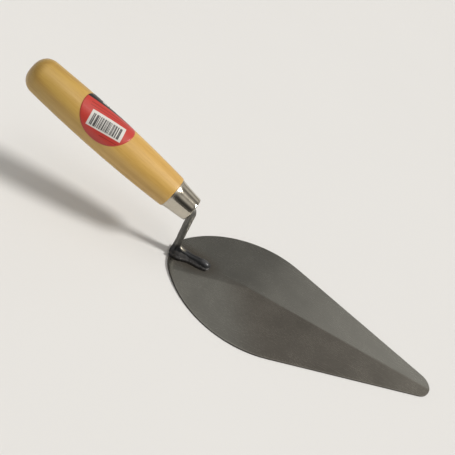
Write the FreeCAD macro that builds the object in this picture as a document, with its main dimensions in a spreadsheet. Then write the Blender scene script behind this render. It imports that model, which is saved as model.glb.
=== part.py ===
# Brick trowel: a creased steel blade, a cranked shank welded on its heel, and a turned handle in a ferrule.
# Millimetres. +X runs from the handle to the toe, +Y is the left side and +Z is up. The blade's rim lies
# on the ground at Z = 0, and the origin is on the ground under the middle of the trowel's box.
import FreeCAD, Part
import math
import os
import Sketcher

sizes = {
    "heel_x": -46.43,
    "blade_length": 250.0,
    "blade_width": 122.2,
    "heel_radius": 38.5,
    "shoulder_radius": 89.9,
    "toe_radius": 12.7,
    "rim_height": 1.2,
    "plate_thickness": 1.5,
    "crown_rise": 4.3,
    "crown_x": 75.0,
    "crown_toe_x": 277.0,
    "crown_shoulder_x": 87.6,
    "crown_shoulder_y": 64.1,
    "crown_heel_x": -15.3,
    "crown_heel_y": 27.4,
    "crown_skirt": 6.0,
    "neck_x": 3.1,
    "neck_radius": 4.0,
    "neck_bend_radius": 5.0,
    "foot_length": 27.5,
    "foot_radius": 4.0,
    "foot_sink": 1.0,
    "tang_length": 92.0,
    "tang_tip_radius": 1.8,
    "weld_length": 37.2,
    "weld_heel_radius": 7.6,
    "weld_nose_radius": 5.4,
    "weld_height": 3.4,
    "weld_round": 2.2,
    "handle_pitch": 17.5,
    "handle_base_x": 0.97,
    "handle_base_z": 51.6,
    "ferrule_length": 21.35,
    "ferrule_front_radius": 10.8,
    "ferrule_rear_radius": 13.05,
    "ferrule_wall": 0.8,
    "ferrule_mouth_radius": 7.0,
    "ferrule_round": 0.7,
    "spigot_gap": 0.4,
    "handle_length": 142.7,
    "handle_front_radius": 14.0,
    "handle_butt_radius": 14.55,
    "handle_bow_radius": 1075.0,
    "butt_round": 11.5,
    "shoulder_round": 0.8,
    "label_radius": 23.2,
    "label_distance": 96.6,
    "label_turn": 9.0,
    "label_thickness": 0.2,
}

document = FreeCAD.newDocument("brick_trowel")
sheet = document.addObject("Spreadsheet::Sheet", "sizes")
for row, (alias, value) in enumerate(sizes.items(), start=1):
    sheet.set(f"A{row}", alias)
    sheet.set(f"B{row}", str(value))
    sheet.setAlias(f"B{row}", alias)
document.recompute()

upright = FreeCAD.Vector(0, 0, 1)
closeness = 0.01
slope_rule = "sizes.crown_rise / (sizes.crown_x - sizes.crown_heel_x)"


def new_body(name):
    return document.addObject("PartDesign::Body", name)


def new_sketch(body, name, role):
    """Return a sketch that lies on one of the body's own origin planes."""
    sketch = body.newObject("Sketcher::SketchObject", name)
    plane = next(item for item in body.Origin.OriginFeatures if item.Role == role)
    sketch.AttachmentSupport = (plane, [""])
    sketch.MapMode = "FlatFace"
    return sketch


def bind(sketch, kind, *where_and_rule):
    """Add one constraint whose value follows a rule on the sheet."""
    *where, rough_value, rule = where_and_rule
    index = sketch.addConstraint(Sketcher.Constraint(kind, *where, rough_value))
    sketch.setExpression(f"Constraints[{index}]", rule)


def place_point(sketch, edge, end, x_rule, y_rule):
    """Hold one end of an edge. A rule of None keeps it on the axis."""
    point = sketch.getPoint(edge, end)
    for kind, axis, rough_value, rule in (
        ("DistanceX", -2, point.x, x_rule),
        ("DistanceY", -1, point.y, y_rule),
    ):
        if rule is None:
            sketch.addConstraint(Sketcher.Constraint("PointOnObject", edge, end, axis))
        else:
            bind(sketch, kind, -1, 1, edge, end, rough_value, rule)


def draw_polygon(sketch, corners):
    """Draw straight edges through (x, y, x rule, y rule) corners and close them."""
    points = [FreeCAD.Vector(x, y, 0) for x, y, _, _ in corners]
    for start, end in zip(points, points[1:] + points[:1]):
        sketch.addGeometry(Part.LineSegment(start, end), False)
    for edge, (_, _, x_rule, y_rule) in enumerate(corners):
        edge_before = (edge - 1) % len(corners)
        sketch.addConstraint(Sketcher.Constraint("Coincident", edge_before, 2, edge, 1))
        place_point(sketch, edge, 1, x_rule, y_rule)


def revolve(body, sketch, name):
    """Turn a profile round the sketch's upright axis."""
    feature = body.newObject("PartDesign::Revolution", name)
    feature.Profile = sketch
    feature.ReferenceAxis = (sketch, ["V_Axis"])
    feature.Angle = 360.0
    return feature


def round_edges(body, base, name, edges, rule):
    fillet = body.newObject("PartDesign::Fillet", name)
    fillet.Base = (base, edges)
    fillet.setExpression("Radius", rule)
    return fillet


def circle_edges(shape, height, radius):
    """Name the circular edges of this radius that lie at this height on the local axis."""
    names = []
    for number, edge in enumerate(shape.Edges, start=1):
        if not isinstance(edge.Curve, Part.Circle):
            continue
        off_height = abs(edge.Curve.Center.z - height)
        off_radius = abs(edge.Curve.Radius - radius)
        if max(off_height, off_radius) < closeness:
            names.append(f"Edge{number}")
    return names


def tilt(item, axis_y, angle_rule, x_rule, z_rule):
    """Turn a piece about the Y axis (1) or against it (-1) and put it at the place that two rules give."""
    turn = FreeCAD.Rotation(FreeCAD.Vector(0, axis_y, 0), 45.0)
    item.Placement = FreeCAD.Placement(FreeCAD.Vector(0, 0, 0), turn)
    item.setExpression("Placement.Rotation.Angle", angle_rule)
    item.setExpression("Placement.Base.x", x_rule)
    item.setExpression("Placement.Base.z", z_rule)


def set_on_handle_axis(item):
    """Stand a piece that was made along its own Z axis on the handle's axis, which rises to the butt."""
    x_rule = "sizes.heel_x + sizes.handle_base_x"
    tilt(item, -1, "(90 - sizes.handle_pitch) * 1deg", x_rule, "sizes.handle_base_z")


def boolean(kind, name, base, tool):
    item = document.addObject(kind, name)
    item.Base = base
    item.Tool = tool
    return item


def make_blade_blank():
    """The outline as a slab: a heel arc, a shoulder arc, a straight side and a toe arc, then mirrored."""
    heel = sizes["heel_radius"]
    shoulder = sizes["shoulder_radius"]
    toe = sizes["toe_radius"]
    drop = shoulder - sizes["blade_width"] / 2
    heel_turn = math.asin(drop / (shoulder - heel))
    shoulder_x = heel + (shoulder - heel) * math.cos(heel_turn)
    toe_x = sizes["blade_length"] - toe
    apart = math.hypot(toe_x - shoulder_x, drop)
    side_angle = math.asin((shoulder - toe) / apart) - math.atan2(drop, toe_x - shoulder_x)

    def circle(x, y, radius):
        return Part.Circle(FreeCAD.Vector(x, y, 0), upright, radius)

    heel_joint = math.pi - heel_turn
    side_normal = math.pi / 2 - side_angle
    outward = FreeCAD.Vector(math.cos(side_normal), math.sin(side_normal), 0)
    side_start = FreeCAD.Vector(shoulder_x, -drop, 0) + outward * shoulder
    side_end = FreeCAD.Vector(toe_x, 0, 0) + outward * toe
    tip = FreeCAD.Vector(sizes["blade_length"], 0, 0)
    body = new_body("blade_blank")
    sketch = new_sketch(body, "blade_outline", "XY_Plane")
    sketch.addGeometry(Part.ArcOfCircle(circle(heel, 0, heel), heel_joint, math.pi), False)
    shoulder_circle = circle(shoulder_x, -drop, shoulder)
    sketch.addGeometry(Part.ArcOfCircle(shoulder_circle, side_normal, heel_joint), False)
    sketch.addGeometry(Part.LineSegment(side_start, side_end), False)
    sketch.addGeometry(Part.ArcOfCircle(circle(toe_x, 0, toe), 0, side_normal), False)
    sketch.addGeometry(Part.LineSegment(tip, FreeCAD.Vector(0, 0, 0)), False)
    sketch.addConstraint(Sketcher.Constraint("Coincident", 0, 2, -1, 1))
    sketch.addConstraint(Sketcher.Constraint("PointOnObject", 0, 3, -1))
    sketch.addConstraint(Sketcher.Constraint("Tangent", 0, 1, 1, 2))
    sketch.addConstraint(Sketcher.Constraint("Tangent", 1, 1, 2, 1))
    sketch.addConstraint(Sketcher.Constraint("Tangent", 2, 2, 3, 2))
    sketch.addConstraint(Sketcher.Constraint("PointOnObject", 3, 3, -1))
    sketch.addConstraint(Sketcher.Constraint("Coincident", 3, 1, 4, 1))
    sketch.addConstraint(Sketcher.Constraint("Coincident", 4, 2, -1, 1))
    bind(sketch, "Radius", 0, heel, "sizes.heel_radius")
    bind(sketch, "Radius", 1, shoulder, "sizes.shoulder_radius")
    bind(sketch, "Radius", 3, toe, "sizes.toe_radius")
    bind(sketch, "DistanceY", 1, 3, -1, 1, drop, "sizes.shoulder_radius - sizes.blade_width / 2")
    place_point(sketch, 4, 1, "sizes.blade_length", None)
    pad = body.newObject("PartDesign::Pad", "half_slab")
    pad.Profile = sketch
    pad.setExpression("Length", "sizes.rim_height + sizes.crown_rise")
    mirror = body.newObject("PartDesign::Mirrored", "whole_slab")
    mirror.Originals = [pad]
    mirror.MirrorPlane = (sketch, ["H_Axis"])
    body.Tip = mirror
    body.setExpression("Placement.Base.x", "sizes.heel_x")
    return body


def make_crown(name, lowered_rule):
    """A shallow five-sided pyramid. Its faces are the blade's facets, and they meet at the crown point."""
    sketch = document.addObject("Sketcher::SketchObject", name + "_base")
    grow = 1 + sizes["crown_skirt"] / sizes["crown_rise"]
    grow_rule = "(1 + sizes.crown_skirt / sizes.crown_rise)"
    middle = sizes["crown_x"]
    toe = middle + (sizes["crown_toe_x"] - middle) * grow
    corners = [(toe, 0.0, f"sizes.crown_x + (sizes.crown_toe_x - sizes.crown_x) * {grow_rule}", None)]
    for corner, side in (("shoulder", 1), ("heel", 1), ("heel", -1), ("shoulder", -1)):
        x = middle + (sizes[f"crown_{corner}_x"] - middle) * grow
        y = side * sizes[f"crown_{corner}_y"] * grow
        x_rule = f"sizes.crown_x + (sizes.crown_{corner}_x - sizes.crown_x) * {grow_rule}"
        corners.append((x, y, x_rule, f"{side} * sizes.crown_{corner}_y * {grow_rule}"))
    draw_polygon(sketch, corners)
    sketch.setExpression("Placement.Base.x", "sizes.heel_x")
    sketch.setExpression("Placement.Base.z", f"sizes.rim_height - sizes.crown_skirt - {lowered_rule}")
    peak = document.addObject("Part::Vertex", name + "_peak")
    peak.setExpression("X", "sizes.heel_x + sizes.crown_x")
    peak.setExpression("Z", f"sizes.rim_height + sizes.crown_rise - {lowered_rule}")
    loft = document.addObject("Part::Loft", name)
    loft.Sections = [sketch, peak]
    loft.Solid = True
    loft.Ruled = True
    return loft


def make_blade(crown):
    """Plate of even thickness under the facets, left flat where it would pass below the rim's plane."""
    faceted = boolean("Part::Common", "faceted_slab", make_blade_blank(), crown)
    hollow = make_crown("hollow", "sizes.plate_thickness")
    return boolean("Part::Cut", "blade", faceted, hollow)


def make_neck():
    """Round bar from the heel up to the ferrule's mouth, turned there on to the handle's axis."""
    pitch = math.radians(sizes["handle_pitch"])
    bend = sizes["neck_bend_radius"]
    neck_x = sizes["neck_x"]
    corner_z = sizes["handle_base_z"] - (neck_x - sizes["handle_base_x"]) * math.tan(pitch)
    setback = bend * math.tan((math.pi / 2 - pitch) / 2)
    along = FreeCAD.Vector(-math.cos(pitch), math.sin(pitch), 0)
    bend_start = FreeCAD.Vector(neck_x, corner_z - setback, 0)
    bend_end = FreeCAD.Vector(neck_x, corner_z, 0) + along * setback
    centre = Part.Circle(FreeCAD.Vector(neck_x - bend, bend_start.y, 0), upright, bend)
    body = new_body("neck")
    path = new_sketch(body, "neck_path", "XZ_Plane")
    path.addGeometry(Part.LineSegment(FreeCAD.Vector(neck_x, 0, 0), bend_start), False)
    path.addGeometry(Part.ArcOfCircle(centre, 0, math.pi / 2 - pitch), False)
    path.addGeometry(Part.LineSegment(bend_end, bend_end + along * bend), False)
    path.addConstraint(Sketcher.Constraint("Vertical", 0))
    path.addConstraint(Sketcher.Constraint("Tangent", 0, 2, 1, 1))
    path.addConstraint(Sketcher.Constraint("Tangent", 1, 2, 2, 1))
    place_point(path, 0, 1, "sizes.neck_x", None)
    bind(path, "Radius", 1, bend, "sizes.neck_bend_radius")
    bind(path, "DistanceY", -1, 1, 0, 2, bend_start.y, (
        "sizes.handle_base_z - (sizes.neck_x - sizes.handle_base_x) * tan(sizes.handle_pitch * 1deg)"
        " - sizes.neck_bend_radius * tan((90 - sizes.handle_pitch) / 2 * 1deg)"
    ))
    bind(path, "Distance", 2, bend, "sizes.neck_bend_radius")
    bind(path, "DistanceY", 2, 1, 2, 2, bend * along.y, (
        "sizes.neck_bend_radius * sin(sizes.handle_pitch * 1deg)"
    ))
    section = new_sketch(body, "neck_section", "XY_Plane")
    ring = Part.Circle(FreeCAD.Vector(neck_x, 0, 0), upright, sizes["neck_radius"])
    section.addGeometry(ring, False)
    place_point(section, 0, 3, "sizes.neck_x", None)
    bind(section, "Radius", 0, sizes["neck_radius"], "sizes.neck_radius")
    pipe = body.newObject("PartDesign::AdditivePipe", "neck_bar")
    pipe.Profile = section
    pipe.Spine = (path, ["Edge1", "Edge2", "Edge3"])
    body.setExpression("Placement.Base.x", "sizes.heel_x")
    return body


def make_foot():
    """Round tongue along the heel facet, with a ball nose. The facet flattens its underside later."""
    radius = sizes["foot_radius"]
    length = sizes["foot_length"]
    body = new_body("foot")
    sketch = new_sketch(body, "foot_profile", "XZ_Plane")
    start = FreeCAD.Vector(0, 0, 0)
    edge = FreeCAD.Vector(radius, 0, 0)
    shoulder = FreeCAD.Vector(radius, length, 0)
    tip = FreeCAD.Vector(0, length + radius, 0)
    nose = Part.Circle(FreeCAD.Vector(0, length, 0), upright, radius)
    sketch.addGeometry(Part.LineSegment(start, edge), False)
    sketch.addGeometry(Part.LineSegment(edge, shoulder), False)
    sketch.addGeometry(Part.ArcOfCircle(nose, 0, math.pi / 2), False)
    sketch.addGeometry(Part.LineSegment(tip, start), False)
    sketch.addConstraint(Sketcher.Constraint("Coincident", 0, 1, -1, 1))
    sketch.addConstraint(Sketcher.Constraint("Coincident", 0, 2, 1, 1))
    sketch.addConstraint(Sketcher.Constraint("Coincident", 1, 2, 2, 1))
    sketch.addConstraint(Sketcher.Constraint("Coincident", 2, 2, 3, 1))
    sketch.addConstraint(Sketcher.Constraint("Coincident", 3, 2, -1, 1))
    place_point(sketch, 1, 1, "sizes.foot_radius", None)
    place_point(sketch, 2, 1, "sizes.foot_radius", "sizes.foot_length")
    place_point(sketch, 2, 3, None, "sizes.foot_length")
    sketch.addConstraint(Sketcher.Constraint("PointOnObject", 3, 1, -2))
    revolve(body, sketch, "foot_tongue")
    tilt(body, 1, f"90deg - atan({slope_rule})", "sizes.heel_x + sizes.neck_x", (
        "sizes.rim_height + sizes.foot_radius - sizes.foot_sink"
        f" + (sizes.neck_x - sizes.crown_heel_x) * {slope_rule}"
    ))
    return body


def make_tang():
    """Tapered spike on the handle's axis, from the bend to its blunt point in the wood."""
    tang = document.addObject("Part::Cone", "tang")
    tang.setExpression("Radius1", "sizes.neck_radius")
    tang.setExpression("Radius2", "sizes.tang_tip_radius")
    tang.setExpression("Height", "sizes.tang_length")
    set_on_handle_axis(tang)
    return tang


def make_shank(crown):
    """The forged shank is one piece: foot, neck and tang, seated flat on the blade's heel facet."""
    bar = boolean("Part::Fuse", "neck_and_tang", make_neck(), make_tang())
    whole = boolean("Part::Fuse", "whole_shank", bar, make_foot())
    return boolean("Part::Cut", "shank", whole, crown)


def make_weld(crown, shank):
    """Weld metal round the foot: a rounded tapering mound, less the shank and the blade's facet."""
    heel = sizes["weld_heel_radius"]
    nose = sizes["weld_nose_radius"]
    heel_centre = FreeCAD.Vector(heel, 0, 0)
    nose_centre = FreeCAD.Vector(sizes["weld_length"] - nose, 0, 0)
    lean = math.asin((heel - nose) / (nose_centre.x - heel))
    left = FreeCAD.Vector(math.sin(lean), math.cos(lean), 0)
    right = FreeCAD.Vector(left.x, -left.y, 0)
    turn = math.pi / 2 - lean
    body = new_body("weld_mound")
    sketch = new_sketch(body, "weld_outline", "XY_Plane")
    heel_circle = Part.Circle(heel_centre, upright, heel)
    nose_circle = Part.Circle(nose_centre, upright, nose)
    sketch.addGeometry(Part.ArcOfCircle(heel_circle, turn, 2 * math.pi - turn), False)
    sketch.addGeometry(Part.LineSegment(heel_centre + right * heel, nose_centre + right * nose), False)
    sketch.addGeometry(Part.ArcOfCircle(nose_circle, -turn, turn), False)
    sketch.addGeometry(Part.LineSegment(nose_centre + left * nose, heel_centre + left * heel), False)
    for edge in range(4):
        sketch.addConstraint(Sketcher.Constraint("Tangent", edge, 2, (edge + 1) % 4, 1))
    place_point(sketch, 0, 3, "sizes.weld_heel_radius", None)
    place_point(sketch, 2, 3, "sizes.weld_length - sizes.weld_nose_radius", None)
    bind(sketch, "Radius", 0, heel, "sizes.weld_heel_radius")
    bind(sketch, "Radius", 2, nose, "sizes.weld_nose_radius")
    pad = body.newObject("PartDesign::Pad", "weld_slab")
    pad.Profile = sketch
    pad.setExpression("Length", "sizes.weld_height")
    document.recompute()
    top_edges = [
        f"Edge{number}"
        for number, edge in enumerate(pad.Shape.Edges, start=1)
        if edge.BoundBox.ZMin > sizes["weld_height"] - closeness
    ]
    round_edges(body, pad, "weld_crown", top_edges, "sizes.weld_round")
    z_rule = f"sizes.rim_height - sizes.crown_heel_x * {slope_rule}"
    tilt(body, -1, f"atan({slope_rule})", "sizes.heel_x", z_rule)
    seated = boolean("Part::Cut", "seated_weld", body, crown)
    return boolean("Part::Cut", "weld", seated, shank)


def make_ferrule():
    """Drawn conical sleeve with its front edge turned in round the shank."""
    body = new_body("ferrule")
    sketch = new_sketch(body, "ferrule_profile", "XZ_Plane")
    mouth = sizes["ferrule_mouth_radius"]
    front = sizes["ferrule_front_radius"]
    rear = sizes["ferrule_rear_radius"]
    wall = sizes["ferrule_wall"]
    length = sizes["ferrule_length"]
    draw_polygon(sketch, [
        (mouth, 0.0, "sizes.ferrule_mouth_radius", None),
        (front, 0.0, "sizes.ferrule_front_radius", None),
        (rear, length, "sizes.ferrule_rear_radius", "sizes.ferrule_length"),
        (rear - wall, length, "sizes.ferrule_rear_radius - sizes.ferrule_wall", "sizes.ferrule_length"),
        (front - wall, wall, "sizes.ferrule_front_radius - sizes.ferrule_wall", "sizes.ferrule_wall"),
        (mouth, wall, "sizes.ferrule_mouth_radius", "sizes.ferrule_wall"),
    ])
    sleeve = revolve(body, sketch, "ferrule_sleeve")
    document.recompute()
    rim = circle_edges(sleeve.Shape, 0.0, front)
    round_edges(body, sleeve, "ferrule_front", rim, "sizes.ferrule_round")
    set_on_handle_axis(body)
    return body


def side_arc(outward):
    """The bowed side of the handle from ferrule to butt, or a line that stands outward of it."""
    front = FreeCAD.Vector(sizes["handle_front_radius"] + outward, sizes["ferrule_length"], 0)
    butt = FreeCAD.Vector(sizes["handle_butt_radius"] + outward, front.y + sizes["handle_length"], 0)
    chord = butt - front
    bow = sizes["handle_bow_radius"]
    rise = bow - math.sqrt(bow ** 2 - (chord.Length / 2) ** 2)
    middle = (front + butt) / 2 + FreeCAD.Vector(chord.y, -chord.x, 0).normalize() * rise
    return Part.Arc(front, middle, butt)


def make_handle(shank):
    """Turned wood: a spigot in the ferrule, a bowed grip and a rounded butt, driven on to the tang."""
    start = sizes["ferrule_length"]
    end = start + sizes["handle_length"]
    lip = sizes["ferrule_wall"] + sizes["spigot_gap"]
    spigot_front = sizes["ferrule_front_radius"] - sizes["ferrule_wall"]
    spigot_rear = sizes["ferrule_rear_radius"] - sizes["ferrule_wall"]
    body = new_body("turned_handle")
    sketch = new_sketch(body, "handle_profile", "XZ_Plane")
    corners = [
        FreeCAD.Vector(0, lip, 0),
        FreeCAD.Vector(spigot_front, lip, 0),
        FreeCAD.Vector(spigot_rear, start, 0),
        FreeCAD.Vector(sizes["handle_front_radius"], start, 0),
        FreeCAD.Vector(sizes["handle_butt_radius"], end, 0),
        FreeCAD.Vector(0, end, 0),
    ]
    for edge, corner in enumerate(corners):
        side = Part.LineSegment(corner, corners[(edge + 1) % len(corners)])
        sketch.addGeometry(side_arc(0.0) if edge == 3 else side, False)
    for edge in range(len(corners)):
        sketch.addConstraint(Sketcher.Constraint("Coincident", edge, 2, (edge + 1) % len(corners), 1))
    front_rule = "sizes.ferrule_wall + sizes.spigot_gap"
    butt_rule = "sizes.ferrule_length + sizes.handle_length"
    place_point(sketch, 0, 1, None, front_rule)
    place_point(sketch, 1, 1, "sizes.ferrule_front_radius - sizes.ferrule_wall", front_rule)
    place_point(sketch, 2, 1, "sizes.ferrule_rear_radius - sizes.ferrule_wall", "sizes.ferrule_length")
    place_point(sketch, 3, 1, "sizes.handle_front_radius", "sizes.ferrule_length")
    place_point(sketch, 4, 1, "sizes.handle_butt_radius", butt_rule)
    place_point(sketch, 5, 1, None, butt_rule)
    bind(sketch, "Radius", 3, sizes["handle_bow_radius"], "sizes.handle_bow_radius")
    turned = revolve(body, sketch, "turned_wood")
    document.recompute()
    butt_edge = circle_edges(turned.Shape, end, sizes["handle_butt_radius"])
    butt = round_edges(body, turned, "rounded_butt", butt_edge, "sizes.butt_round")
    document.recompute()
    front_edge = circle_edges(butt.Shape, start, sizes["handle_front_radius"])
    round_edges(body, butt, "eased_shoulder", front_edge, "sizes.shoulder_round")
    set_on_handle_axis(body)
    return boolean("Part::Cut", "handle", body, shank)


def make_label(handle):
    """Round paper label, wrapped on the grip: a skin of the handle's side, cut to the label's outline."""
    backing = 1.0
    outline_points = 48
    origin = FreeCAD.Vector(0, 0, 0)
    inner = side_arc(-backing).toShape()
    outer = side_arc(sizes["label_thickness"]).toShape()
    front = Part.makeLine(inner.valueAt(inner.FirstParameter), outer.valueAt(outer.FirstParameter))
    butt = Part.makeLine(inner.valueAt(inner.LastParameter), outer.valueAt(outer.LastParameter))
    profile = Part.Face(Part.Wire([inner, butt, outer, front]))
    skin = profile.revolve(origin, FreeCAD.Vector(0, 1, 0), 360)
    skin.rotate(origin, FreeCAD.Vector(1, 0, 0), 90)
    grip_radius = outer.valueAt((outer.FirstParameter + outer.LastParameter) / 2).x
    points = []
    for step in range(outline_points):
        angle = 2 * math.pi * step / outline_points
        wrap = sizes["label_radius"] * math.sin(angle) / grip_radius
        height = sizes["label_distance"] + sizes["label_radius"] * math.cos(angle)
        points.append(FreeCAD.Vector(0, grip_radius * math.sin(wrap), height))
    outline = Part.BSplineCurve()
    outline.interpolate(points, PeriodicFlag=True)
    side_of_axis = Part.Face(Part.Wire(outline.toShape()))
    window = side_of_axis.extrude(FreeCAD.Vector(2 * grip_radius, 0, 0))
    patch = skin.common(window)
    patch.rotate(origin, upright, -sizes["label_turn"])
    paper = document.addObject("Part::Feature", "paper")
    paper.Shape = patch
    set_on_handle_axis(paper)
    return boolean("Part::Cut", "label", paper, handle)


crown = make_crown("crown", "0")
blade = make_blade(crown)
shank = make_shank(crown)
weld = make_weld(crown, shank)
ferrule = make_ferrule()
handle = make_handle(shank)
label = make_label(handle)
document.recompute()

for item in document.Objects:
    if "Invalid" in item.State or "Error" in item.State:
        raise RuntimeError(f"{item.Name} did not build: {item.State}")

os.makedirs("parts", exist_ok=True)
box = FreeCAD.BoundBox()
for piece in (blade, shank, weld, ferrule, handle, label):
    shape = piece.Shape
    if shape.isNull() or not shape.isValid():
        raise RuntimeError(f"{piece.Label} has no valid shape")
    print(piece.Label, "solids", len(shape.Solids), "volume", round(shape.Volume, 1))
    box.add(shape.optimalBoundingBox(True, False))
    shape.exportStep(f"parts/{piece.Label}.step")
print("box", box)
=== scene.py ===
import math

import bmesh
import bpy
from mathutils import Matrix, Vector, noise


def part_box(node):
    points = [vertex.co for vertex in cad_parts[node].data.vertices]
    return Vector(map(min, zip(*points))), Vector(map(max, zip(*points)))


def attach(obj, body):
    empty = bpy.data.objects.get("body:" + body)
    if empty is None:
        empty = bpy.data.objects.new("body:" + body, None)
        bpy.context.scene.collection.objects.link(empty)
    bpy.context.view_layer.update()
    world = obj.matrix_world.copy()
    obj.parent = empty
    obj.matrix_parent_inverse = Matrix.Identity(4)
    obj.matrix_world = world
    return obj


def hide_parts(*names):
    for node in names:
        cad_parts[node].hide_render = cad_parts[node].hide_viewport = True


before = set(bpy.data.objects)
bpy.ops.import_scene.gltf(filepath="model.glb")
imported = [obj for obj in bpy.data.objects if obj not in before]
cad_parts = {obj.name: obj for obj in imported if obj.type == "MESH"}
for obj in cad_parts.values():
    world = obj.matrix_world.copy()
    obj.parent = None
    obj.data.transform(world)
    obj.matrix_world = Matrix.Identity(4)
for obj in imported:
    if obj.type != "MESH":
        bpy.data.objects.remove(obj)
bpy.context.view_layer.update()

# Brick trowel, in metres. +X runs from the handle to the toe, +Z is up, and the blade's rim is on the ground.
mm = 0.001
bladeLow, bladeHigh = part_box("blade")
heelX = bladeLow.x
print("frame loaded, heel at", round(heelX, 4))


# A shader socket that can be added, multiplied and so on.
class Signal:
    def __init__(self, paint, socket):
        self.paint = paint
        self.socket = socket

    def maths(self, operation, *values):
        inputs = dict(enumerate(values))
        return self.paint.node("ShaderNodeMath", {"operation": operation}, inputs)

    def __add__(self, other):
        return self.maths("ADD", self, other)

    def __sub__(self, other):
        return self.maths("SUBTRACT", self, other)

    def __mul__(self, other):
        return self.maths("MULTIPLY", self, other)

    def __truediv__(self, other):
        return self.maths("DIVIDE", self, other)

    def __rsub__(self, other):
        return self.maths("SUBTRACT", other, self)

    __radd__ = __add__
    __rmul__ = __mul__

    def power(self, exponent):
        return self.maths("POWER", self, exponent)

    def most(self, other):
        return self.maths("MAXIMUM", self, other)

    def size(self):
        return self.maths("ABSOLUTE", self)

    def sine(self):
        return self.maths("SINE", self)

    def fade(self, start, end):  # 0 at start, 1 at end, smooth between
        inputs = {"Value": self, "From Min": start, "From Max": end}
        return self.paint.node("ShaderNodeMapRange", {"interpolation_type": "SMOOTHSTEP"}, inputs)


class Paint:
    def __init__(self, owner):  # a new material, or the world
        owner.use_nodes = True
        self.owner = owner
        self.tree = owner.node_tree
        self.tree.nodes.clear()

    def node(self, kind, settings=None, inputs=None, output=0):
        node = self.tree.nodes.new(kind)
        for key, value in (settings or {}).items():
            if key == "stops":
                ramp = node.color_ramp.elements
                for place, colour in value[2:]:
                    ramp.new(place)
                for element, (place, colour) in zip(ramp, value):
                    element.position = place
                    element.color = (*colour, 1.0)
            else:
                setattr(node, key, value)
        for key, value in (inputs or {}).items():
            if isinstance(value, Signal):
                self.tree.links.new(value.socket, node.inputs[key])
            else:
                node.inputs[key].default_value = value
        return Signal(self, node.outputs[output]) if node.outputs else None

    def place(self):
        return self.node("ShaderNodeTexCoord", output="Object")

    def stretched(self, where, stretch):
        return self.node("ShaderNodeVectorMath", {"operation": "MULTIPLY"}, {0: where, 1: stretch})

    def parts(self, where):
        split = self.node("ShaderNodeSeparateXYZ", inputs={0: where})
        outputs = split.socket.node.outputs
        return [Signal(self, outputs[name]) for name in "XYZ"]

    def noise(self, where, scale, detail=2.0, roughness=0.5, distortion=0.0):
        inputs = {"Vector": where, "Scale": scale, "Detail": detail, "Roughness": roughness}
        inputs["Distortion"] = distortion
        return self.node("ShaderNodeTexNoise", {"noise_dimensions": "3D"}, inputs)

    def ramp(self, value, *stops):
        return self.node("ShaderNodeValToRGB", {"stops": stops}, {0: value})

    def mix(self, amount, first, second, blend="MIX"):
        settings = {"data_type": "RGBA", "blend_type": blend}
        first = first if isinstance(first, Signal) else (*first, 1.0)
        second = second if isinstance(second, Signal) else (*second, 1.0)
        return self.node("ShaderNodeMix", settings, {0: amount, 6: first, 7: second}, output=2)

    def bump(self, height, distance, strength=1.0):
        inputs = {"Height": height, "Distance": distance, "Strength": strength}
        return self.node("ShaderNodeBump", inputs=inputs)

    def finish(self, **sockets):  # names as on the shader, with spaces left out
        shader = self.tree.nodes.new("ShaderNodeBsdfPrincipled")
        names = {socket.name.replace(" ", ""): socket for socket in shader.inputs}
        for name, value in sockets.items():
            if isinstance(value, Signal):
                self.tree.links.new(value.socket, names[name])
            else:
                names[name].default_value = (*value, 1.0) if isinstance(value, tuple) else value
        out = self.tree.nodes.new("ShaderNodeOutputMaterial")
        self.tree.links.new(shader.outputs[0], out.inputs[0])
        return self.owner


def newPaint(name):
    return Paint(bpy.data.materials.new(name))


def meshPiece(name, points, faces, material, smooth=True):
    mesh = bpy.data.meshes.new(name)
    mesh.from_pydata([tuple(point) for point in points], [], faces)
    mesh.validate()
    piece = bpy.data.objects.new(name, mesh)
    bpy.context.scene.collection.objects.link(piece)
    mesh.materials.append(material)
    mesh.polygons.foreach_set("use_smooth", [smooth] * len(mesh.polygons))
    return piece


def faceOutwards(piece, merge=True):
    work = bmesh.new()
    work.from_mesh(piece.data)
    if merge:
        bmesh.ops.remove_doubles(work, verts=work.verts, dist=1e-7)
    bmesh.ops.recalc_face_normals(work, faces=work.faces)
    work.to_mesh(piece.data)
    work.free()


def bakeModifiers(piece):  # replace a piece's mesh by its evaluated mesh
    graph = bpy.context.evaluated_depsgraph_get()
    made = bpy.data.meshes.new_from_object(piece.evaluated_get(graph))
    piece.modifiers.clear()
    piece.data = made
    made.polygons.foreach_set("use_smooth", [True] * len(made.polygons))


def put(piece, node):
    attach(piece, "root")
    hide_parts(node)


def ringFaces(first, second, count):  # quads between two rings of the same count
    return [(first + i, first + (i + 1) % count, second + (i + 1) % count, second + i) for i in range(count)]


def lathe(name, profile, sides, material, toWorld):  # profile: (radius, height) pairs; radius 0 makes a pole
    points = []
    rings = []
    for radius, height in profile:
        rings.append((len(points), radius == 0))
        count = 1 if radius == 0 else sides
        for i in range(count):
            angle = math.tau * i / sides
            points.append(toWorld @ Vector((radius * math.cos(angle), radius * math.sin(angle), height)))
    faces = []
    for (first, firstPole), (second, secondPole) in zip(rings, rings[1:]):
        for i in range(sides):
            j = (i + 1) % sides
            if firstPole:
                faces.append((first, second + j, second + i))
            elif secondPole:
                faces.append((first + i, first + j, second))
            else:
                faces.append((first + i, first + j, second + j, second + i))
    piece = meshPiece(name, points, faces, material)
    faceOutwards(piece)
    return piece


def arcPoints(centre, radius, start, end, steps):  # angles in degrees, in the profile's plane
    turns = [math.radians(start + (end - start) * i / steps) for i in range(steps + 1)]
    return [(centre[0] + radius * math.cos(turn), centre[1] + radius * math.sin(turn)) for turn in turns]


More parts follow.
